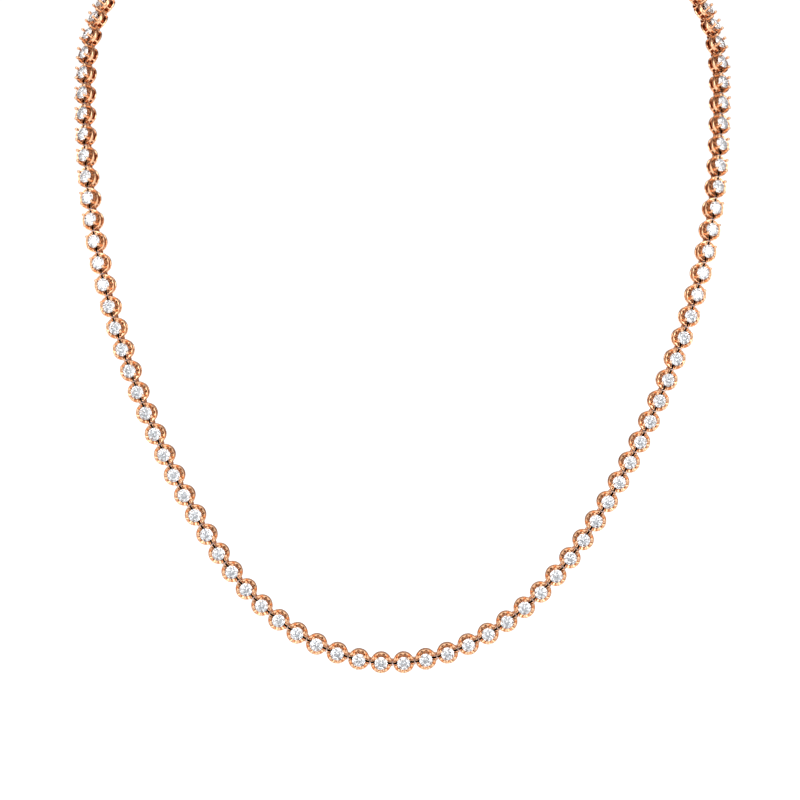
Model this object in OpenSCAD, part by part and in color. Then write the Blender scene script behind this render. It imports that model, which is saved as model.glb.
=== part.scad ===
// Riviere necklace in its worn shape: round illusion settings, each with one
// brilliant-cut stone, hinged in a closed loop with a plain clasp at the nape.
// Millimetres, +Z up, the front faces -Y and the origin is the nape.

/* [Loop] */
// Number of stone settings round the loop
setting_count = 108; // [80:2:140]
// How far the lowest setting hangs off the middle, towards the left
sway = 1.9; // [0:0.1:6]
// How far the chain has slid round the neck, away from the left side
slide = 0.5; // [0:0.1:2]

/* [Stone] */
// Stone diameter across the girdle
stone_d = 2.3; // [1.8:0.05:3]
// Table width as a share of the stone diameter
table_share = 0.56; // [0.5:0.01:0.62]
// Crown height as a share of the stone diameter
crown_share = 0.15; // [0.12:0.01:0.17]
// Pavilion depth as a share of the stone diameter
pavilion_share = 0.43; // [0.4:0.01:0.45]
// Height of the girdle above the plate
stone_rise = 0.4; // [0.3:0.05:0.8]
// Clear space between a stone and the prongs that hold it
seat_gap = 0.12; // [0.11:0.01:0.2]

/* [Setting] */
// Width of the illusion plate outside the stone
plate_w = 0.73; // [0.68:0.01:1.2]
// Depth of the bowl inside the plate's rim
bowl_depth = 0.5; // [0.3:0.02:0.6]
// Thickness of the bowl's floor
floor_t = 0.22; // [0.16:0.02:0.4]
// Height of the rim
rim_t = 0.4; // [0.3:0.02:0.5]
// Width of the slots at both chain ends of the plate
slot_w = 0.36; // [0.2:0.02:0.5]
// Space between the rims of two neighbours
rim_gap = 0.14; // [0.13:0.01:0.4]
// Diameter of a prong
prong_d = 0.32; // [0.25:0.01:0.4]
// Diameter of a prong's rounded tip
tip_d = 0.46; // [0.42:0.02:0.6]
// Height of a tip's middle above the girdle
tip_rise = 0.46; // [0.42:0.02:0.6]

/* [Hinge] */
// Diameter of the back gallery wire
wire_d = 0.4; // [0.3:0.02:0.46]
// Clear space between the wire and the eye that grips it
hinge_gap = 0.24; // [0.22:0.01:0.3]
// Wall of the hinge eye
eye_wall = 0.14; // [0.12:0.01:0.24]
// Width of the hinge eye
eye_w = 0.7; // [0.4:0.05:0.8]

/* [Clasp] */
// Hinge to hinge length of the clasp
clasp_length = 10.6; // [8:0.2:16]
// Width of the clasp body
clasp_width = 3.2; // [2.4:0.1:5]
// Thickness of the clasp body
clasp_t = 1.3; // [0.8:0.1:2]
// Corner radius of the clasp body
clasp_corner = 0.8; // [0.2:0.1:1.1]
// Radius of the clasp's wire loop
clasp_loop_r = 1.2; // [1.1:0.05:1.5]

/* [Hidden] */
$fn = 32;
gold = [0.83, 0.52, 0.36];
diamond = [0.93, 0.96, 1];

// The right half of the route, from the lowest point at the front to the nape.
// Each row is right, back, up, then the way the settings face: turned outward
// from the front, and tilted up, in degrees. The rows pull a smooth curve.
route = [
    [0, -95.5, -121, 0, 8],
    [13.5, -94.5, -117.5, 3, 10],
    [26, -92, -108.5, 6, 15],
    [36.5, -87.5, -93, 11, 20],
    [45.5, -81, -75, 16, 20],
    [52, -72, -56.5, 22, 19],
    [54.5, -62.5, -42, 29, 18],
    [55, -53.5, -30.5, 37, 18],
    [55, -45, -22, 48, 24],
    [51, -36, -17, 66, 30],
    [46.5, -21.5, -11, 94, 33],
    [32.5, -7, -3, 130, 30],
    [0, 0, 0, 180, 25]
];
route_steps = 12;

stone_r = stone_d / 2;
table_r = table_share * stone_r;
girdle_t = 0.03 * stone_d;
crown_h = crown_share * stone_d;
pavilion_h = pavilion_share * stone_d;
main_count = 8;
// Star facets and lower halves, as shares of the crown and of the pavilion
star_share = 0.45;
half_share = 0.78;

// Metal between the hole of an eye and the gallery wire that carries it
eye_web = 0.2;
// Clear space between an eye and the bowl over it
eye_headroom = 0.2;
rim_r = stone_r + plate_w;
pitch = 2 * rim_r + rim_gap;
wire_r = wire_d / 2;
eye_hole_r = wire_r + hinge_gap;
eye_r = eye_hole_r + eye_wall;
eye_reach = eye_hole_r + wire_r + eye_web;
gallery_r = (pitch - eye_reach) / 2;

// The plate is a bowl with a rounded rim. Its floor has a hole under the stone.
floor_low = eye_r + eye_headroom;
floor_top = floor_low + floor_t;
plate_top = floor_top + bowl_depth;
girdle_height = plate_top + stone_rise;
rim_soft = 0.13;
// How far below its top the rim is widest, as a share of its height
rim_belly = 0.55;
lip_w = 0.24;
lip_r = rim_r - lip_w;
bowl_run = 0.54;
floor_r = lip_r - bowl_run;
under_w = 0.2;
under_r = rim_r - under_w;
hole_gap = 0.3;
hole_r = hole_gap + max(0, stone_r * (1 - (stone_rise + bowl_depth) / pavilion_h));

// A prong leans in past the girdle's edge, and its tip stands above the crown.
tip_r = tip_d / 2;
// A tip's flat top and the rise to it, as shares of the tip's radius
tip_flat = 0.55;
tip_crest = 0.9;
prong_r = stone_r + seat_gap + prong_d / 2;
girdle_top = girdle_height + girdle_t / 2;
prong_lean = atan2(gallery_r - prong_r, girdle_top);
prong_length = (girdle_height + tip_rise) / cos(prong_lean);
// How far a cutter runs past what it cuts
over = 1;

// The whole route: the left half from the nape down, then the right half up.
function mirrored(p) = [-p[0], p[1], p[2], -p[3], p[4]];
half_last = len(route) - 1;
loop_route = concat(
    [for (i = [half_last:-1:0]) mirrored(route[i])],
    [for (i = [1:half_last - 1]) route[i]]
);
route_count = len(loop_route);
function route_row(i) =
    loop_route[(i + route_count) % route_count]
    + [0, 0, 0, 360 * floor(i / route_count), 0];
function spline(a, b, c, d, t) =
    (a + 4 * b + c + 3 * (c - a) * t + 3 * (a - 2 * b + c) * t * t
    + (3 * b - a - 3 * c + d) * t * t * t) / 6;
function on_span(i, t) =
    spline(route_row(i - 1), route_row(i), route_row(i + 1), route_row(i + 2), t);
nape = on_span(0, 0);
lowest = on_span(half_last, 0)[2] - nape[2];
function from_nape(p) =
    let (up = p[2] - nape[2])
    [p[0] - sway * pow(up / lowest, 3), p[1] - nape[1], up, p[3], p[4]];
fine = [
    for (i = [0:route_count - 1], j = [0:route_steps - 1])
        from_nape(on_span(i, j / route_steps)),
    from_nape(on_span(route_count, 0))
];
function place(p) = [p[0], p[1], p[2]];
function step_length(i) = norm(place(fine[i + 1]) - place(fine[i]));
fine_last = len(fine) - 1;
own_lengths = [
    for (i = 0, s = 0; i <= fine_last; s = s + (i < fine_last ? step_length(i) : 0), i = i + 1)
        s
];
own_length = own_lengths[fine_last];

// The route is scaled so that its length is that of the built chain.
loop_length = setting_count * pitch + clasp_length;
route_scale = loop_length / own_length;
tables = [for (c = [0:4]) [
    for (i = [0:fine_last])
        [own_lengths[i] * route_scale, fine[i][c] * (c < 3 ? route_scale : 1)]
]];
function wrapped(s) = s < 0 ? s + loop_length : s > loop_length ? s - loop_length : s;
function along(s) = [for (c = [0:2]) lookup(wrapped(s), tables[c])];
function facing(s) =
    let (turn = lookup(wrapped(s), tables[3]), lift = lookup(wrapped(s), tables[4]))
    [sin(turn) * cos(lift), -cos(turn) * cos(lift), sin(lift)];
function unit(v) = v / norm(v);

// A frame at a hinge: X runs to the next hinge and Z faces out from the neck.
function frame(a, b, out) =
    let (
        x = unit(b - a),
        z = unit(out - (out * x) * x),
        y = cross(z, x)
    )
    [[x[0], y[0], z[0], a[0]], [x[1], y[1], z[1], a[1]], [x[2], y[2], z[2], a[2]],
     [0, 0, 0, 1]];
first_hinge = clasp_length / 2 - slide;
function hinge_at(i) = first_hinge + i * pitch;
function setting_frame(i) =
    frame(along(hinge_at(i)), along(hinge_at(i + 1)), facing(hinge_at(i) + gallery_r));
clasp_frame = frame(along(hinge_at(setting_count)), along(first_hinge), facing(0));

// A round wire ring lying flat, its middle line at radius r.
module wire_ring(r, wire) {
    rotate_extrude()
        translate([r, 0])
            circle(r = wire, $fn = 6);
}

// The illusion plate, with a slot at both chain ends.
module plate() {
    difference() {
        rotate_extrude()
            polygon([
                [hole_r, floor_low],
                [under_r, floor_low],
                [rim_r - rim_soft, plate_top - rim_t],
                [rim_r, plate_top - rim_belly * rim_t],
                [rim_r - rim_soft, plate_top],
                [lip_r, plate_top],
                [floor_r, floor_top],
                [hole_r, floor_top]
            ]);
        for (side = [0, 180])
            rotate([0, 0, side])
                translate([0, -slot_w / 2, floor_low - over])
                    cube([lip_r, slot_w, plate_top - floor_low + 2 * over]);
    }
}

// One prong with its rounded tip. It stands on the gallery wire and leans in.
module prong() {
    translate([gallery_r, 0, 0])
        rotate([0, -prong_lean, 0])
            rotate_extrude()
                polygon([
                    [0, 0],
                    [prong_d / 2, 0],
                    [prong_d / 2, prong_length - tip_r],
                    [tip_r, prong_length],
                    [tip_flat * tip_r, prong_length + tip_crest * tip_r],
                    [0, prong_length + tip_crest * tip_r]
                ]);
}

// The eye that grips the next gallery wire, centred on the hinge.
module hinge_eye(tab_length) {
    rotate([90, 0, 0])
        difference() {
            union() {
                cylinder(r = eye_r, h = eye_w, center = true);
                translate([-tab_length, -wire_r, -eye_w / 2])
                    cube([tab_length, wire_d, eye_w]);
            }
            cylinder(r = eye_hole_r, h = eye_w + 2 * over, center = true);
        }
}

// One soldered setting, from its own hinge to the next.
module setting() {
    translate([gallery_r, 0, 0]) {
        wire_ring(gallery_r, wire_r);
        plate();
        for (quarter = [0:3])
            rotate([0, 0, 45 + 90 * quarter])
                prong();
    }
    translate([pitch, 0, 0])
        hinge_eye(eye_reach);
}

// A ring of n points at radius r and height z, the first at angle a.
function ring(n, r, z, a = 0) = [
    for (i = [0:n - 1]) [r * cos(a + 360 * i / n), r * sin(a + 360 * i / n), z]
];

// A round brilliant: table, stars, kites, girdle, lower halves and pavilion mains.
module stone() {
    turn = 180 / main_count;
    girdle_count = 2 * main_count;
    crown_x = stone_r - star_share * (stone_r - table_r);
    pavilion_x = (1 - half_share) * stone_r;
    points = concat(
        ring(main_count, table_r, girdle_t / 2 + crown_h),
        ring(main_count, crown_x / cos(turn), girdle_t / 2 + star_share * crown_h, turn),
        ring(girdle_count, stone_r, girdle_t / 2),
        ring(girdle_count, stone_r, -girdle_t / 2),
        ring(main_count, pavilion_x / cos(turn), -girdle_t / 2 - half_share * pavilion_h, turn),
        [[0, 0, -girdle_t / 2 - pavilion_h]]
    );
    // Numbers of the first point of each ring, and of the culet
    star = main_count;
    upper = star + main_count;
    lower = upper + girdle_count;
    half = lower + girdle_count;
    culet = half + main_count;
    mains = [0:main_count - 1];
    function next(i) = (i + 1) % main_count;
    function last(i) = (i + main_count - 1) % main_count;
    function past(i) = (i + 1) % girdle_count;
    faces = concat(
        [[for (i = mains) main_count - 1 - i]],
        [for (i = mains) [i, next(i), star + i]],
        [for (i = mains) [i, star + i, upper + 2 * i, star + last(i)]],
        [for (i = mains) [star + i, upper + 2 * i + 1, upper + 2 * i]],
        [for (i = mains) [star + i, upper + past(2 * i + 1), upper + 2 * i + 1]],
        [for (i = [0:girdle_count - 1]) [upper + i, upper + past(i), lower + past(i), lower + i]],
        [for (i = mains) [half + i, lower + 2 * i, lower + 2 * i + 1]],
        [for (i = mains) [half + i, lower + 2 * i + 1, lower + past(2 * i + 1)]],
        [for (i = mains) [culet, half + last(i), lower + 2 * i, half + i]]
    );
    translate([gallery_r, 0, girdle_height])
        polyhedron(points, faces);
}

module settings(from, to) {
    color(gold)
        for (i = [from:to])
            multmatrix(setting_frame(i))
                setting();
}

module stones(from, to) {
    color(diamond)
        for (i = [from:to])
            multmatrix(setting_frame(i))
                stone();
}

// A bar with rounded corners, from one end to the other along X.
module rounded_bar(from, to, width, low, high, radius) {
    corner = min(radius, 0.49 * width);
    height = high - low;
    translate([from, corner - width / 2, low])
        cube([to - from, width - 2 * corner, height]);
    translate([from + corner, -width / 2, low])
        cube([to - from - 2 * corner, width, height]);
    for (x = [from + corner, to - corner], y = [-1, 1])
        translate([x, y * (width / 2 - corner), low])
            cylinder(r = corner, h = height);
}

// The clasp: a plain bar with a wire loop at one end and an eye at the other.
module clasp() {
    bar_from = 2 * clasp_loop_r - wire_r;
    bar_to = clasp_length - eye_reach;
    color(gold)
        multmatrix(clasp_frame) {
            translate([clasp_loop_r, 0, 0])
                wire_ring(clasp_loop_r, wire_r);
            rounded_bar(bar_from, bar_to, clasp_width, -wire_r, clasp_t - wire_r, clasp_corner);
            translate([clasp_length, 0, 0])
                hinge_eye(eye_reach + wire_r);
        }
}

half_count = setting_count / 2;
settings(0, half_count - 1);  // settings_left
settings(half_count, setting_count - 1);  // settings_right
stones(0, half_count - 1);  // stones_left
stones(half_count, setting_count - 1);  // stones_right
clasp();
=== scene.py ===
"""Riviere necklace in rose gold: round illusion settings with brilliant-cut stones.

Each setting is modelled once, in millimetres round its own centre, and copied to every
station of the loop. The finished pieces are in metres, +Z up, with the nape at the origin.
"""

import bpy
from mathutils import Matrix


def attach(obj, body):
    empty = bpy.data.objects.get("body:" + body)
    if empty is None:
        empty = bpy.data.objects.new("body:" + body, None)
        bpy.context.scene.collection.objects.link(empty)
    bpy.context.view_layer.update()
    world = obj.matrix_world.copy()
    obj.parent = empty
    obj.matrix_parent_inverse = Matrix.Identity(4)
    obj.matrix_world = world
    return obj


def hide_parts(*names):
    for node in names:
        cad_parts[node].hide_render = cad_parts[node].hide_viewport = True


bl_info = {
    "name": "Riviere Necklace",
    "version": (1, 0, 0),
    "blender": (4, 5, 0),
    "location": "3D View > Sidebar > Necklace",
    "description": "Round illusion settings with brilliant-cut stones, hinged in a closed loop",
    "category": "Add Mesh",
}

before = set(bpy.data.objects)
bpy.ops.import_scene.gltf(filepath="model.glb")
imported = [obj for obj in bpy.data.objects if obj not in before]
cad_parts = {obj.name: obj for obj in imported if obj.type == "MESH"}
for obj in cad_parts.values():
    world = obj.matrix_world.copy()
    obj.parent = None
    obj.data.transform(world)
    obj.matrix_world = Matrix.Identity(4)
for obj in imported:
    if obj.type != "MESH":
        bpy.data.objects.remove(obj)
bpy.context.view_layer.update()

import math

import bmesh
import bpy
import numpy as np
from bpy.props import FloatProperty, FloatVectorProperty, IntProperty, PointerProperty
from mathutils import Matrix, Vector

MM = 0.001


# Sizes and colours

def length(name, description, millimetres):
    return FloatProperty(
        name=name, description=description, default=millimetres * MM,
        min=0.0, unit="LENGTH", precision=5)


def share(name, description, default):
    return FloatProperty(name=name, description=description, default=default, min=0.0, max=1.0)


def colour(name, description, default):
    return FloatVectorProperty(
        name=name, description=description, default=default, size=3,
        min=0.0, max=1.0, subtype="COLOR")


class LoopSizes(bpy.types.PropertyGroup):
    """How the settings follow one another round the neck"""
    setting_count: IntProperty(
        name="Settings", description="Number of stone settings round the loop", default=108, min=8)
    pitch: length("Pitch", "Distance from one hinge to the next", 3.9)
    clasp_length: length("Clasp length", "Hinge to hinge length of the clasp", 10.6)
    sway: length("Sway", "How far the lowest setting hangs off the middle", 1.9)
    slide: length("Slide", "How far the chain has slid round the neck", 0.5)


class SettingSizes(bpy.types.PropertyGroup):
    """One soldered setting and its stone"""
    rim_r: length("Rim radius", "Outer radius of the illusion plate", 1.88)
    floor_low: length("Bowl height", "Underside of the bowl above the gallery wire", 0.78)
    plate_top: length("Plate height", "Top of the plate's rim above the gallery wire", 1.5)
    slot_w: length("Slot width", "Width of the slots at both chain ends", 0.36)
    girdle_z: length("Girdle height", "Girdle of the stone above the gallery wire", 1.9)
    prong_d: length("Prong diameter", "Diameter of a prong", 0.4)
    tip_d: length("Tip diameter", "Diameter of a prong's rounded tip", 0.54)
    tip_r: length("Tip radius", "Where the tips stand, from the middle of the stone", 1.37)
    tip_rise: length("Tip height", "Middle of a tip above the girdle", 0.47)
    lobe_count: IntProperty(
        name="Lobes", description="Bright-cut lobes round the bowl", default=12, min=4)


class HingeSizes(bpy.types.PropertyGroup):
    """The gallery wire of a setting and the eye that grips the next one"""
    gallery_r: length("Gallery radius", "Middle line of the back gallery wire", 1.53)
    wire_d: length("Wire diameter", "Diameter of the gallery wire", 0.4)
    eye_r: length("Eye radius", "Outer radius of the hinge eye", 0.58)
    eye_hole_r: length("Eye hole radius", "Radius of the hole in the hinge eye", 0.44)
    eye_w: length("Eye width", "Width of the hinge eye", 0.7)
    tongue_t: length("Tongue thickness", "Tongue that stands between two rims", 0.15)
    tongue_w: length("Tongue width", "Width of that tongue across the chain", 0.75)
    block_w: length("Block width", "Width of the hinge block under the tongue", 1.25)


class ClaspSizes(bpy.types.PropertyGroup):
    """The plain clasp at the nape"""
    width: length("Width", "Width of the clasp body", 3.2)
    thickness: length("Thickness", "Thickness of the clasp body", 1.3)
    corner: length("Corner", "Corner radius of the clasp body", 0.8)
    loop_r: length("Loop radius", "Radius of the clasp's wire loop", 1.2)


class Finish(bpy.types.PropertyGroup):
    """Colours and polish"""
    gold: colour("Rose gold", "Colour of the polished metal", (0.80, 0.465, 0.275))
    # The tongue's pale grey-pink is a painted sheen that makes the narrow stripe between two rims
    # show light; its rougher satin is the finish.
    tongue: colour("Tongue", "Colour of the satin tongues", (0.56, 0.40, 0.36))
    # Painted shade: groove is the red of light bounced between metal walls, painted into grooves,
    # and cut is the black painted deep in a slot.
    groove: colour(
        "Groove", "Colour of the metal in a groove, red from its own light", (0.17, 0.03, 0.008))
    cut: colour("Cut", "Colour of the metal deep in a cut", (0.010, 0.003, 0.002))
    polish: share("Polish", "Roughness of the polished metal", 0.11)
    satin: share("Satin", "Roughness of the satin tongues", 0.3)
    stone: colour("Stone", "Colour of the stones", (0.95, 0.975, 1.0))


class StageSizes(bpy.types.PropertyGroup):
    """Floor, lights and camera"""
    floor_z: FloatProperty(
        name="Floor height", description="Height of the floor", default=-0.42, unit="LENGTH")
    floor: colour("Floor colour", "Colour of the floor", (0.9, 0.9, 0.9))
    lens: FloatProperty(
        name="Lens", description="Focal length on a 36 mm wide sensor, in mm", default=204.8)
    distance: FloatProperty(
        name="Distance", description="From the camera to its aim", default=0.8, unit="LENGTH")
    elevation: FloatProperty(
        name="Elevation", description="Camera above the horizon",
        default=math.radians(20), subtype="ANGLE", unit="ROTATION")


def sizes():
    """The loop's, the setting's, the hinge's and the clasp's sizes."""
    scene = bpy.context.scene
    return (scene.necklace_loop, scene.necklace_setting, scene.necklace_hinge,
            scene.necklace_clasp)


# The route of the loop

# The right half, from the lowest point at the front to the nape. Each row is right, back,
# up, then how far the settings turn outward and tilt up in degrees. The rows pull a curve.
ROUTE = (
    (0, -95.5, -121, 0, 8),
    (13.5, -94.5, -117.5, 3, 10),
    (26, -92, -108.5, 6, 15),
    (36.5, -87.5, -93, 11, 20),
    (45.5, -81, -75, 16, 20),
    (52, -72, -56.5, 22, 19),
    (54.5, -62.5, -42, 29, 18),
    (55, -53.5, -30.5, 37, 18),
    (55, -45, -22, 48, 24),
    (51, -36, -17, 66, 30),
    (46.5, -21.5, -11, 94, 33),
    (32.5, -7, -3, 130, 30),
    (0, 0, 0, 180, 25),
)
ROUTE_STEPS = 12


def route_points(sway):
    """Fine points of the whole route, from the nape down the left side and up the right."""
    right = np.array(ROUTE, float)
    left = right[::-1] * (-1, 1, 1, -1, 1)
    rows = np.vstack((left, right[1:-1]))
    count = len(rows)

    def row(i):
        return rows[i % count] + (0, 0, 0, 360 * (i // count), 0)

    def on_span(i, t):
        a, b, c, d = (row(i + k) for k in (-1, 0, 1, 2))
        return (a + 4 * b + c + 3 * (c - a) * t + 3 * (a - 2 * b + c) * t ** 2
                + (3 * b - a - 3 * c + d) * t ** 3) / 6

    nape = on_span(0, 0)
    lowest = on_span(len(right) - 1, 0)[2] - nape[2]
    points = np.array(
        [on_span(i, j / ROUTE_STEPS) for i in range(count) for j in range(ROUTE_STEPS)]
        + [on_span(count, 0)])
    points[:, 1:3] -= nape[1:3]
    points[:, 0] -= sway * (points[:, 2] / lowest) ** 3
    return points


def stations():
    """Where each setting lies, as matrices from its millimetres, and the clasp's after them."""
    loop = bpy.context.scene.necklace_loop
    gallery_r = bpy.context.scene.necklace_hinge.gallery_r / MM
    pitch, clasp_length = loop.pitch / MM, loop.clasp_length / MM
    points = route_points(loop.sway / MM)
    steps = np.linalg.norm(np.diff(points[:, :3], axis=0), axis=1)
    lengths = np.concatenate(([0.0], np.cumsum(steps)))
    loop_length = loop.setting_count * pitch + clasp_length
    grow = loop_length / lengths[-1]
    lengths = lengths * grow

    def along(s):
        return Vector([grow * np.interp(s % loop_length, lengths, points[:, c])
                       for c in range(3)])

    def facing(s):
        turn, lift = (math.radians(np.interp(s % loop_length, lengths, points[:, c]))
                      for c in (3, 4))
        return Vector((math.sin(turn) * math.cos(lift), -math.cos(turn) * math.cos(lift),
                       math.sin(lift)))

    def station(start, end, out):
        x = (end - start).normalized()
        z = (out - out.dot(x) * x).normalized()
        turned_to = Matrix((x, z.cross(x), z)).transposed().to_4x4()
        return Matrix.Scale(MM, 4) @ Matrix.Translation(start) @ turned_to

    first = clasp_length / 2 - loop.slide / MM
    hinges = [first + i * pitch for i in range(loop.setting_count + 1)]
    middle = Matrix.Translation((gallery_r, 0, 0))
    places = [station(along(s), along(s + pitch), facing(s + gallery_r)) @ middle
              for s in hinges[:-1]]
    return places, station(along(hinges[-1]), along(hinges[0]), facing(0))


# Modelling helpers

def deselect_all():
    if bpy.context.mode != "OBJECT":
        bpy.ops.object.mode_set(mode="OBJECT")
    bpy.ops.object.select_all(action="DESELECT")


def take(piece):
    """Selects one piece alone and makes it the active one."""
    deselect_all()
    piece.select_set(True)
    bpy.context.view_layer.objects.active = piece


def settle(piece):
    """Puts a piece's place, turn and scale into its mesh."""
    take(piece)
    bpy.ops.object.transform_apply(location=True, rotation=True, scale=True)
    return piece


def start(add, **at):
    """A new primitive with its place in its mesh, alone in the selection."""
    deselect_all()
    add(**at)
    return settle(bpy.context.object)


def edit(piece, mode="VERT"):
    take(piece)
    bpy.ops.object.mode_set(mode="EDIT")
    bpy.ops.mesh.select_mode(type=mode)


def pick(piece, test):
    """Selects the points that pass the test, with the edges and faces between them."""
    bpy.ops.mesh.select_all(action="DESELECT")
    mesh = bmesh.from_edit_mesh(piece.data)
    for point in mesh.verts:
        point.select_set(bool(test(point.co)))
    mesh.select_flush(True)
    bmesh.update_edit_mesh(piece.data)


def pick_edges(piece, test):
    """Selects the edges whose two ends pass the test together."""
    bpy.ops.mesh.select_all(action="DESELECT")
    mesh = bmesh.from_edit_mesh(piece.data)
    for edge in mesh.edges:
        edge.select_set(bool(test(edge.verts[0].co, edge.verts[1].co)))
    bmesh.update_edit_mesh(piece.data)


def turned(profile, segments, ring=True):
    """A round form, drawn out from a circle along a profile of radius and height.
    A ring's last circle is bridged to its first, and a solid's two ends are filled."""
    radius, height = profile[0]
    piece = start(bpy.ops.mesh.primitive_circle_add,
                  vertices=segments, radius=radius, location=(0, 0, height))
    edit(piece, "EDGE")
    bpy.ops.mesh.select_all(action="SELECT")
    for r, z in profile[1:]:
        bpy.ops.mesh.extrude_edges_move(TRANSFORM_OT_translate={"value": (0, 0, z - height)})
        bpy.ops.transform.resize(value=(r / radius, r / radius, 1), center_override=(0, 0, 0))
        radius, height = r, z
    bpy.ops.mesh.select_all(action="DESELECT")
    bpy.ops.mesh.select_non_manifold()
    if ring:
        bpy.ops.mesh.bridge_edge_loops()
    else:
        bpy.ops.mesh.fill_holes(sides=0)
    bpy.ops.mesh.select_all(action="SELECT")
    bpy.ops.mesh.normals_make_consistent(inside=False)
    bpy.ops.object.mode_set(mode="OBJECT")
    return piece


def put(piece, location=(0, 0, 0), rotation=(0, 0, 0)):
    """Turns and moves a part of a setting, and applies it."""
    piece.location, piece.rotation_euler = location, rotation
    return settle(piece)


def bar(low, high):
    """A square bar from its lowest corner to its highest."""
    piece = start(bpy.ops.mesh.primitive_cube_add, size=1)
    piece.scale = [b - a for a, b in zip(low, high)]
    return put(piece, location=[(a + b) / 2 for a, b in zip(low, high)])


def wire_ring(radius, wire, sides, segments):
    """A closed ring of round wire, from its middle line's radius and the wire's own."""
    return turned(
        [(radius + wire * math.cos(a), wire * math.sin(a))
         for a in (math.tau * k / sides for k in range(sides))], segments)


def apply(piece, kind, **values):
    """Adds a modifier and applies it."""
    take(piece)
    modifier = piece.modifiers.new(kind.title(), kind)
    for name, value in values.items():
        setattr(modifier, name, value)
    bpy.ops.object.modifier_apply(modifier=modifier.name)


def soften(piece, width):
    """Rounds a bar's edges."""
    apply(piece, "BEVEL", width=width, segments=2)


def joined(parts):
    deselect_all()
    for part in parts:
        part.select_set(True)
    bpy.context.view_layer.objects.active = parts[0]
    bpy.ops.object.join()
    return parts[0]


def round_shade(piece, angle):
    take(piece)
    bpy.ops.object.shade_smooth_by_angle(angle=math.radians(angle))


def in_the_open(co, normal, centre):
    """No painted shade on a part that has no cuts."""
    return 0.0


def paint_shade(piece, depth):
    """Keeps on the mesh the painted shade of each face, by how deep in a cut it lies, from 0 in
    the open to 1.
    """
    layer = piece.data.attributes.new("depth", "FLOAT", "CORNER")
    values = []
    for face in piece.data.polygons:
        for index in face.vertices:
            values.append(depth(piece.data.vertices[index].co, face.normal, face.center))
    layer.data.foreach_set("value", values)


def string(master, name, places, material, node_names):
    """Copies a master to its places and joins the copies into one named piece."""
    copies = []
    for place in places:
        copy = bpy.data.objects.new(name, master.data.copy())
        copy.data.transform(place)
        bpy.context.scene.collection.objects.link(copy)
        copies.append(copy)
    piece = joined(copies)
    piece.name = piece.data.name = name
    piece.data.materials.clear()
    piece.data.materials.append(material)
    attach(piece, "root")
    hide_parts(*node_names)


def strings(master, name, material):
    """The left and the right half of the loop, each one piece."""
    places, _ = stations()
    half = len(places) // 2
    string(master, name + "_left", places[:half], material, ["settings_left"])
    string(master, name + "_right", places[half:], material, ["settings_right"])
    bpy.data.objects.remove(master)


# Finishes

# Painted shade: how dark a face is painted for lying deep or hidden, from 0 in the open to 1 in
# the black of a cut
GROOVE_SHADE = 0.6
UNDER_SHADE = 0.3
BLOCK_SHADE = 0.35
WIRE_SHADE = 0.9
CUT_SHADE = 1.0


def socket(group, name, way, kind, default=None):
    made = group.interface.new_socket(name=name, in_out=way, socket_type=kind)
    if default is not None:
        made.default_value = default
    return made


def polish_group():
    """Fine wear of polished metal: a roughness that varies and a faint hand-polished relief."""
    group = bpy.data.node_groups.get("Hand polish")
    if group:
        return group
    group = bpy.data.node_groups.new("Hand polish", "ShaderNodeTree")
    socket(group, "Roughness", "INPUT", "NodeSocketFloat", 0.11)
    socket(group, "Variation", "INPUT", "NodeSocketFloat", 0.06)
    socket(group, "Roughness", "OUTPUT", "NodeSocketFloat")
    socket(group, "Height", "OUTPUT", "NodeSocketFloat")
    nodes, links = group.nodes, group.links
    entry, leave = nodes.new("NodeGroupInput"), nodes.new("NodeGroupOutput")
    where = nodes.new("ShaderNodeTexCoord")
    broad = nodes.new("ShaderNodeTexNoise")
    broad.inputs["Scale"].default_value = 900
    fine = nodes.new("ShaderNodeTexNoise")
    fine.inputs["Scale"].default_value = 5200
    fine.inputs["Detail"].default_value = 4
    swing = nodes.new("ShaderNodeMath")
    swing.operation = "SUBTRACT"
    swing.inputs[1].default_value = 0.5
    spread = nodes.new("ShaderNodeMath")
    spread.operation = "MULTIPLY_ADD"
    links.new(where.outputs["Object"], broad.inputs["Vector"])
    links.new(where.outputs["Object"], fine.inputs["Vector"])
    links.new(broad.outputs["Fac"], swing.inputs[0])
    links.new(swing.outputs[0], spread.inputs[0])
    links.new(entry.outputs["Variation"], spread.inputs[1])
    links.new(entry.outputs["Roughness"], spread.inputs[2])
    links.new(spread.outputs[0], leave.inputs["Roughness"])
    links.new(fine.outputs["Fac"], leave.inputs["Height"])
    return group


def rose_gold(name, colour="gold", surface="polish"):
    """Rose gold with painted shade: it turns red and then dark where the mesh says that a face
    lies deep.
    """
    finish = bpy.context.scene.necklace_finish
    material = bpy.data.materials.new(name)
    material.use_nodes = True
    nodes, links = material.node_tree.nodes, material.node_tree.links
    shader = nodes["Principled BSDF"]
    shader.inputs["Metallic"].default_value = 1.0
    depth = nodes.new("ShaderNodeAttribute")
    depth.attribute_name = "depth"
    # Painted shade: the ramp runs from the gold in the open through the painted groove red to the
    # painted black of a cut.
    tint = nodes.new("ShaderNodeValToRGB")
    tint.color_ramp.elements[0].color = (*getattr(finish, colour), 1)
    tint.color_ramp.elements[1].color = (*finish.cut, 1)
    tint.color_ramp.elements.new(GROOVE_SHADE).color = (*finish.groove, 1)
    polish = nodes.new("ShaderNodeGroup")
    polish.node_tree = polish_group()
    polish.inputs["Roughness"].default_value = getattr(finish, surface)
    bump = nodes.new("ShaderNodeBump")
    bump.inputs["Strength"].default_value = 0.02
    bump.inputs["Distance"].default_value = 0.02 * MM
    links.new(depth.outputs["Fac"], tint.inputs["Fac"])
    links.new(tint.outputs["Color"], shader.inputs["Base Color"])
    links.new(polish.outputs["Roughness"], shader.inputs["Roughness"])
    links.new(polish.outputs["Height"], bump.inputs["Height"])
    links.new(bump.outputs["Normal"], shader.inputs["Normal"])
    material.diffuse_color = (*finish.gold, 1)
    return material


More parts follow.
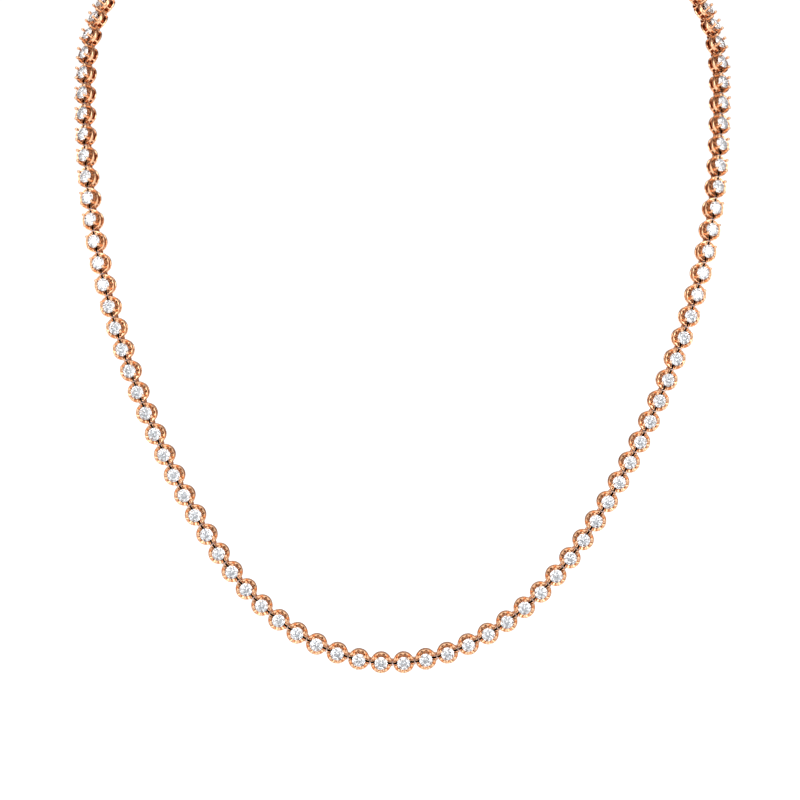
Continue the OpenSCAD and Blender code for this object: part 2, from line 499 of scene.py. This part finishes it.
def brilliant():
    """Clear, colourless stone with the strong bending of light that its facets need."""
    finish = bpy.context.scene.necklace_finish
    material = bpy.data.materials.new("Brilliant stone")
    material.use_nodes = True
    nodes, links = material.node_tree.nodes, material.node_tree.links
    shader = nodes["Principled BSDF"]
    shader.inputs["Base Color"].default_value = (*finish.stone, 1)
    shader.inputs["Metallic"].default_value = 0.0
    shader.inputs["Transmission Weight"].default_value = 0.9
    shader.inputs["IOR"].default_value = 2.42
    shader.inputs["Roughness"].default_value = 0.0
    material.diffuse_color = (*finish.stone, 1)
    return material


# The pieces

# The bowl of a plate. Each row is how far in from the rim, how far down from the top, and
# how high the crest of a lobe rises there.
BOWL = (
    (0.22, 0.11, 0.07),
    (0.38, 0.19, 0.12),
    (0.54, 0.25, 0.15),
    (0.70, 0.30, 0.16),
    (0.80, 0.35, 0.12),
)
# A lobe from its crest to the cut beside it: the share of that rise, and the painted shade
LOBE_STEPS = 6
LOBE_RISE = (1.0, 0.95, 0.75)
LOBE_SHADE = (0.0, 0.0, 0.05, 0.5)
# Points closer than this, in millimetres, lie on one line
HAIR = 0.01
EYE_CLEARANCE = 0.12
SOFT_EDGE = 0.05


class NECKLACE_OT_plates(bpy.types.Operator):
    """Illusion plates: a domed rim, a bowl cut into bright beads and a slot at both ends"""
    bl_idname = "necklace.plates"
    bl_label = "Illusion Plates"
    bl_options = {"REGISTER", "UNDO"}

    def execute(self, context):
        _, setting, hinge, _ = sizes()
        rim, low = setting.rim_r / MM, setting.floor_low / MM
        top, floor, bore = setting.plate_top / MM, low + 0.22, 0.4
        basket = [
            (bore, low), (rim - 0.52, low), (rim - 0.53, 0.10), (rim - 0.46, 0.10),
            (rim - 0.42, low - 0.01), (rim - 0.18, low + 0.01)]
        edge = [
            (rim - 0.06, low + 0.07), (rim - 0.01, low + 0.17), (rim, top - 0.26),
            (rim - 0.02, top - 0.11), (rim - 0.07, top - 0.02), (rim - 0.13, top - 0.02)]
        bowl = [(rim - inset, top - drop) for inset, drop, _ in BOWL]
        seat = [(rim - 0.86, floor), (bore, floor)]
        lobes = setting.lobe_count
        plate = turned(basket + edge + bowl + seat, LOBE_STEPS * lobes)

        def from_lobe(co):
            """Distance from the middle of the nearest lobe, in steps round the plate."""
            turn = math.atan2(co.y, co.x) * lobes / math.tau
            return round(LOBE_STEPS * abs(turn - round(turn)))

        edit(plate)
        for inset, _, rise in BOWL:
            for step, part in enumerate(LOBE_RISE):
                pick(plate, lambda co: abs(math.hypot(co.x, co.y) - rim + inset) < HAIR
                     and co.z > floor - HAIR and from_lobe(co) == step)
                bpy.ops.transform.translate(value=(0, 0, rise * part))
        bpy.ops.object.mode_set(mode="OBJECT")

        slot, eye_room = setting.slot_w / MM, hinge.eye_w / MM + 2 * EYE_CLEARANCE
        inner, beyond, flat = bore + 0.2, 1, 0.075
        for side in (-1, 1):
            near, far = sorted((side * inner, side * (rim + beyond)))
            for width, under, over in (
                    (slot, low + 0.06, top + beyond), (eye_room, -beyond, low - 0.08)):
                cutter = bar((near, -width / 2, under), (far, width / 2, over))
                apply(plate, "BOOLEAN", operation="DIFFERENCE", object=cutter, solver="EXACT")
                bpy.data.objects.remove(cutter)
            edit(plate)
            bpy.ops.mesh.select_all(action="SELECT")
            bpy.ops.mesh.bisect(plane_co=(side * (rim - flat), 0, 0), plane_no=(side, 0, 0),
                                use_fill=True, clear_outer=True)
            bpy.ops.object.mode_set(mode="OBJECT")
        round_shade(plate, 40)

        # Painted shade: black on the slot's walls and floor, shade on down-facing faces, groove
        # red low on the basket's rim, and darker valleys between the lobes.
        def depth(co, normal, centre):
            r = math.hypot(co.x, co.y)
            slot_wall = abs(centre.y) < slot / 2 + HAIR / 2 and abs(normal.y) > 0.9
            slot_floor = abs(centre.y) < slot / 2 and normal.z > 0.9
            if slot_wall and low < centre.z or slot_floor and co.z < floor - HAIR:
                return CUT_SHADE
            if normal.z < -0.5:
                return UNDER_SHADE
            if co.z < low + 2 * HAIR and r > rim - 0.5:
                return GROOVE_SHADE
            if r < rim - 0.2 and co.z > floor + HAIR:
                return LOBE_SHADE[from_lobe(co)]
            return 0.0

        paint_shade(plate, depth)
        strings(plate, "plates", rose_gold("Bright-cut rose gold"))
        return {"FINISHED"}


class NECKLACE_OT_prongs(bpy.types.Operator):
    """Four prongs to a setting, from the gallery wire to a rounded tip over the stone"""
    bl_idname = "necklace.prongs"
    bl_label = "Prongs"
    bl_options = {"REGISTER", "UNDO"}

    def execute(self, context):
        _, setting, hinge, _ = sizes()
        foot_r, head_r = hinge.gallery_r / MM, setting.tip_r / MM
        shaft, tip = setting.prong_d / MM / 2, setting.tip_d / MM / 2
        head_z = (setting.girdle_z + setting.tip_rise) / MM
        lean, rise = math.atan2(foot_r - head_r, head_z), math.hypot(foot_r - head_r, head_z)
        prongs = []
        for quarter in range(4):
            prong = turned([
                (shaft, 0), (0.95 * shaft, 0.55 * rise), (shaft, rise - 1.5 * tip),
                (0.9 * tip, rise - 0.6 * tip), (tip, rise - 0.05 * tip),
                (0.85 * tip, rise + 0.5 * tip), (0.45 * tip, rise + 0.88 * tip)], 10, ring=False)
            put(prong, location=(foot_r, 0, 0), rotation=(0, -lean, 0))
            put(prong, rotation=(0, 0, math.radians(45 + 90 * quarter)))
            prongs.append(prong)
        master = joined(prongs)
        round_shade(master, 60)
        paint_shade(master, in_the_open)
        strings(master, "prongs", rose_gold("Polished prong gold"))
        return {"FINISHED"}


class NECKLACE_OT_galleries(bpy.types.Operator):
    """Back gallery wires, each with the flat eye that grips the next wire"""
    bl_idname = "necklace.galleries"
    bl_label = "Galleries and Hinge Eyes"
    bl_options = {"REGISTER", "UNDO"}

    def execute(self, context):
        loop, setting, hinge, _ = sizes()
        middle, wire = hinge.gallery_r / MM, hinge.wire_d / MM / 2
        slot, eye_r = setting.slot_w / MM, hinge.eye_r / MM
        next_hinge, between = loop.pitch / MM - middle, loop.pitch / MM / 2
        ring = wire_ring(middle, wire, 8, 40)
        eye = put(hinge_eye(hinge), location=(next_hinge, 0, 0))
        parts = [ring, eye, hinge_tab(hinge, middle, next_hinge)]
        rim, block_l = setting.rim_r / MM, 0.35
        low, head = setting.floor_low / MM, setting.plate_top / MM - 0.5
        into = 0.08
        for inner, outer, foot in (
                (rim - into - block_l, between + 0.11, 0.15),
                (into - rim, into + block_l - rim, low - 0.16)):
            for width, over in ((hinge.block_w / MM, head - 0.06), (slot, head)):
                block = bar((inner, -width / 2, foot), (outer, width / 2, over))
                soften(block, 0.04)
                parts.append(block)
        master = joined(parts)
        round_shade(master, 40)

        # Painted shade: the hinge blocks are painted black under the slot and dark beside it, and
        # the wire's top near the slot nearly black.
        def depth(co, normal, centre):
            if centre.z > eye_r:
                return CUT_SHADE if abs(co.y) < slot / 2 + HAIR else BLOCK_SHADE
            return WIRE_SHADE if abs(co.y) < 0.75 * slot and normal.z > 0.3 else 0.0

        paint_shade(master, depth)
        strings(master, "galleries", rose_gold("Polished wire gold"))
        return {"FINISHED"}


class NECKLACE_OT_tongues(bpy.types.Operator):
    """Thin satin tongues that stand between the rims of two neighbours"""
    bl_idname = "necklace.tongues"
    bl_label = "Tongues"
    bl_options = {"REGISTER", "UNDO"}

    def execute(self, context):
        loop, setting, hinge, _ = sizes()
        between, thick, wide = loop.pitch / MM / 2, hinge.tongue_t / MM, hinge.tongue_w / MM
        foot, head = 0.8 * hinge.eye_r / MM, setting.plate_top / MM - 0.1
        seen = head - 0.2
        tongue = bar((between - thick / 2, -wide / 2, foot), (between + thick / 2, wide / 2, head))
        soften(tongue, SOFT_EDGE)
        round_shade(tongue, 40)
        # Painted shade: the tongue below the part seen between the rims is painted groove red.
        paint_shade(tongue, lambda co, normal, centre: 0.0 if co.z > seen else GROOVE_SHADE)
        strings(tongue, "tongues", rose_gold("Satin tongue gold", "tongue", "satin"))
        return {"FINISHED"}


def hinge_eye(hinge):
    """The round eye of a hinge, its axis across the chain."""
    outer, hole, half = hinge.eye_r / MM, hinge.eye_hole_r / MM, hinge.eye_w / MM / 2
    eye = turned([
        (hole, -half), (outer - SOFT_EDGE, -half), (outer, SOFT_EDGE - half),
        (outer, half - SOFT_EDGE), (outer - SOFT_EDGE, half), (hole, half)], 20)
    return put(eye, rotation=(math.radians(90), 0, 0))


def hinge_tab(hinge, root, eye_x):
    """The flat tab that joins an eye to what carries it."""
    wire, half = hinge.wire_d / MM / 2, hinge.eye_w / MM / 2
    tab = bar((root, -half, -wire), (eye_x - hinge.eye_hole_r / MM, half, wire))
    soften(tab, SOFT_EDGE)
    return tab


class NECKLACE_OT_clasp(bpy.types.Operator):
    """A plain clasp: a softly rounded bar with a wire loop at one end and an eye at the other"""
    bl_idname = "necklace.clasp"
    bl_label = "Clasp"
    bl_options = {"REGISTER", "UNDO"}

    def execute(self, context):
        loop, _, hinge, clasp = sizes()
        wire, span = hinge.wire_d / MM / 2, loop.clasp_length / MM
        loop_r, width = clasp.loop_r / MM, clasp.width / MM
        low, high = -wire, clasp.thickness / MM - wire
        left, right = 2 * loop_r - wire, span - hinge.eye_hole_r / MM - wire - 0.2
        edge, border, sunk, step = 0.16, 0.22, 0.05, 0.06
        body = bar((left, -width / 2, low), (right, width / 2, high))
        edit(body, "EDGE")
        pick_edges(body, lambda a, b: abs(a.z - b.z) > 0.1)
        bpy.ops.mesh.bevel(offset=clasp.corner / MM, segments=5)
        pick_edges(body, lambda a, b: abs(a.z - b.z) < HAIR)
        bpy.ops.mesh.bevel(offset=edge, segments=3)
        bpy.ops.mesh.select_mode(type="FACE")
        pick(body, lambda co: co.z > high - HAIR)
        bpy.ops.mesh.inset(thickness=border)
        bpy.ops.transform.translate(value=(0, 0, -sunk))
        bpy.ops.mesh.inset(thickness=step)
        bpy.ops.object.mode_set(mode="OBJECT")
        wire_loop = put(wire_ring(loop_r, wire, 10, 32), location=(loop_r, 0, 0))
        eye = put(hinge_eye(hinge), location=(span, 0, 0))
        master = joined([body, wire_loop, eye, hinge_tab(hinge, right - 0.1, span)])
        round_shade(master, 40)
        paint_shade(master, in_the_open)
        _, place = stations()
        string(master, "clasp_bar", [place], rose_gold("Polished clasp gold"), ["clasp"])
        bpy.data.objects.remove(master)
        return {"FINISHED"}


class NECKLACE_OT_stones(bpy.types.Operator):
    """Gives the round brilliants of model.glb, with a table, stars, kites, halves, a girdle and a
    pointed pavilion, their clear stone material
    """
    bl_idname = "necklace.stones"
    bl_label = "Stones"
    bl_options = {"REGISTER", "UNDO"}

    def execute(self, context):
        material = brilliant()
        for name in ("stones_left", "stones_right"):
            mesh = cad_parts[name].data
            mesh.materials.clear()
            mesh.materials.append(material)
        return {"FINISHED"}


def make_floor(stage):
    """A pale floor with a painted reflection: the polished metal sees its far part painted warm
    and dark.
    """
    floor = start(bpy.ops.mesh.primitive_circle_add, vertices=96, radius=6,
                  fill_type="NGON", location=(0, 0, stage.floor_z))
    floor.name = floor.data.name = "floor"
    pale = bpy.data.materials.new("Pale floor")
    pale.use_nodes = True
    nodes, links = pale.node_tree.nodes, pale.node_tree.links
    shader = nodes["Principled BSDF"]
    where, part = nodes.new("ShaderNodeTexCoord"), nodes.new("ShaderNodeSeparateXYZ")
    behind, seen = nodes.new("ShaderNodeMapRange"), nodes.new("ShaderNodeLightPath")
    behind.inputs["From Min"].default_value = -0.1
    behind.inputs["From Max"].default_value = 0.5
    dimmed = nodes.new("ShaderNodeMath")
    dimmed.operation = "MULTIPLY"
    tone = nodes.new("ShaderNodeMix")
    tone.data_type = "RGBA"
    tone.inputs["A"].default_value = (*stage.floor, 1)
    tone.inputs["B"].default_value = (0.32, 0.13, 0.06, 1)
    links.new(where.outputs["Object"], part.inputs["Vector"])
    links.new(part.outputs["Y"], behind.inputs["Value"])
    links.new(behind.outputs["Result"], dimmed.inputs[0])
    # Painted reflection: only glossy rays see the far floor in the warm dark tone.
    links.new(seen.outputs["Is Glossy Ray"], dimmed.inputs[1])
    links.new(dimmed.outputs[0], tone.inputs["Factor"])
    links.new(tone.outputs["Result"], shader.inputs["Base Color"])
    shader.inputs["Roughness"].default_value = 0.9
    shader.inputs["Specular IOR Level"].default_value = 0.1
    floor.data.materials.append(pale)


def make_lights(aim):
    """Soft boxes over, beside and before the necklace: place, size in metres and watts."""
    for name, place, size, power in (
            ("Top softbox", (0.0, -0.25, 1.25), (1.3, 1.3), 14),
            ("Left softbox", (-1.1, -0.7, 0.35), (0.5, 1.3), 5),
            ("Right softbox", (1.1, -0.7, 0.35), (0.5, 1.3), 5),
            ("Front card", (0.0, -1.7, 0.95), (1.4, 0.6), 6)):
        deselect_all()
        bpy.ops.object.light_add(type="AREA", location=place)
        lamp = bpy.context.object
        lamp.name = lamp.data.name = name
        lamp.data.shape = "RECTANGLE"
        lamp.data.size, lamp.data.size_y = size
        lamp.data.energy = power
        lamp.rotation_euler = (aim - Vector(place)).to_track_quat("-Z", "Y").to_euler()


def make_room():
    """White surroundings, which the metal and the stones see shaded from front to back."""
    scene = bpy.context.scene
    world = scene.world or bpy.data.worlds.new("Studio")
    scene.world = world
    world.use_nodes = True
    nodes, links = world.node_tree.nodes, world.node_tree.links
    nodes.clear()
    path = nodes.new("ShaderNodeLightPath")
    out = nodes.new("ShaderNodeOutputWorld")
    sky = nodes.new("ShaderNodeTexCoord")
    part = nodes.new("ShaderNodeSeparateXYZ")
    links.new(sky.outputs["Generated"], part.inputs["Vector"])

    def room(*walls):
        """Light from the front of the room, 0, to its back, 1."""
        behind = nodes.new("ShaderNodeMapRange")
        behind.inputs["From Min"].default_value = -1
        tone = nodes.new("ShaderNodeValToRGB")
        ends = tone.color_ramp.elements
        ends[0].color, ends[1].color = (*walls[0][1], 1), (*walls[-1][1], 1)
        ends[0].position, ends[1].position = walls[0][0], walls[-1][0]
        for place, wall in walls[1:-1]:
            ends.new(place).color = (*wall, 1)
        light = nodes.new("ShaderNodeBackground")
        links.new(part.outputs["Y"], behind.inputs["Value"])
        links.new(behind.outputs["Result"], tone.inputs["Fac"])
        links.new(tone.outputs["Color"], light.inputs["Color"])
        return light.outputs[0]

    white, bright, pale = (1.0, 1.0, 1.0), (0.92, 0.92, 0.92), (0.80, 0.74, 0.70)
    warm, slate, cool = (0.12, 0.03, 0.01), (0.12, 0.15, 0.20), (0.92, 0.95, 1.0)
    last = room((0.27, bright), (0.72, warm), (0.80, warm), (0.92, pale))
    for ray, light in (
            ("Is Transmission Ray", room((0.02, slate), (0.5, cool))),
            ("Is Diffuse Ray", room((0, white), (1, white))),
            ("Is Camera Ray", room((0, white), (1, white)))):
        mix = nodes.new("ShaderNodeMixShader")
        links.new(path.outputs[ray], mix.inputs["Fac"])
        links.new(last, mix.inputs[1])
        links.new(light, mix.inputs[2])
        last = mix.outputs[0]
    links.new(last, out.inputs["Surface"])


def make_camera(stage, aim):
    tilt = stage.elevation
    back = Vector((0, -math.cos(tilt), math.sin(tilt)))
    deselect_all()
    bpy.ops.object.camera_add(location=aim + stage.distance * back,
                              rotation=(math.radians(90) - tilt, 0, 0))
    camera = bpy.context.object
    camera.data.lens = stage.lens
    camera.data.sensor_width = 36
    camera.data.clip_start = 0.01
    camera.data.clip_end = 50
    bpy.context.scene.camera = camera


class NECKLACE_OT_stage(bpy.types.Operator):
    """A pale floor, soft studio lights and the camera"""
    bl_idname = "necklace.stage"
    bl_label = "Stage"
    bl_options = {"REGISTER", "UNDO"}

    def execute(self, context):
        stage = context.scene.necklace_stage
        aim = Vector((-0.0005, -0.0703, -0.0795))
        make_floor(stage)
        make_lights(aim)
        make_room()
        make_camera(stage, aim)
        context.scene.view_settings.view_transform = "Standard"
        return {"FINISHED"}


class NECKLACE_PT_panel(bpy.types.Panel):
    """Everything that the necklace is made of, in the order in which it is made"""
    bl_idname = "NECKLACE_PT_panel"
    bl_label = "Riviere Necklace"
    bl_space_type = "VIEW_3D"
    bl_region_type = "UI"
    bl_category = "Necklace"

    def draw(self, context):
        layout = self.layout
        for group in GROUPS:
            box = layout.box()
            box.label(text=group.__doc__)
            values = getattr(context.scene, GROUPS[group])
            for name in group.__annotations__:
                box.prop(values, name)
        for operator in OPERATORS:
            layout.operator(operator.bl_idname)


GROUPS = {
    LoopSizes: "necklace_loop",
    SettingSizes: "necklace_setting",
    HingeSizes: "necklace_hinge",
    ClaspSizes: "necklace_clasp",
    Finish: "necklace_finish",
    StageSizes: "necklace_stage",
}
OPERATORS = (
    NECKLACE_OT_plates,
    NECKLACE_OT_prongs,
    NECKLACE_OT_galleries,
    NECKLACE_OT_tongues,
    NECKLACE_OT_clasp,
    NECKLACE_OT_stones,
    NECKLACE_OT_stage,
)


def register():
    for cls in (*GROUPS, *OPERATORS, NECKLACE_PT_panel):
        bpy.utils.register_class(cls)
    for group, name in GROUPS.items():
        setattr(bpy.types.Scene, name, PointerProperty(type=group))


def unregister():
    for name in GROUPS.values():
        delattr(bpy.types.Scene, name)
    for cls in reversed((*GROUPS, *OPERATORS, NECKLACE_PT_panel)):
        bpy.utils.unregister_class(cls)


def main():
    register()
    bpy.ops.necklace.plates()
    bpy.ops.necklace.prongs()
    bpy.ops.necklace.galleries()
    bpy.ops.necklace.tongues()
    bpy.ops.necklace.clasp()
    bpy.ops.necklace.stones()
    bpy.ops.necklace.stage()


if __name__ == "__main__":
    main()
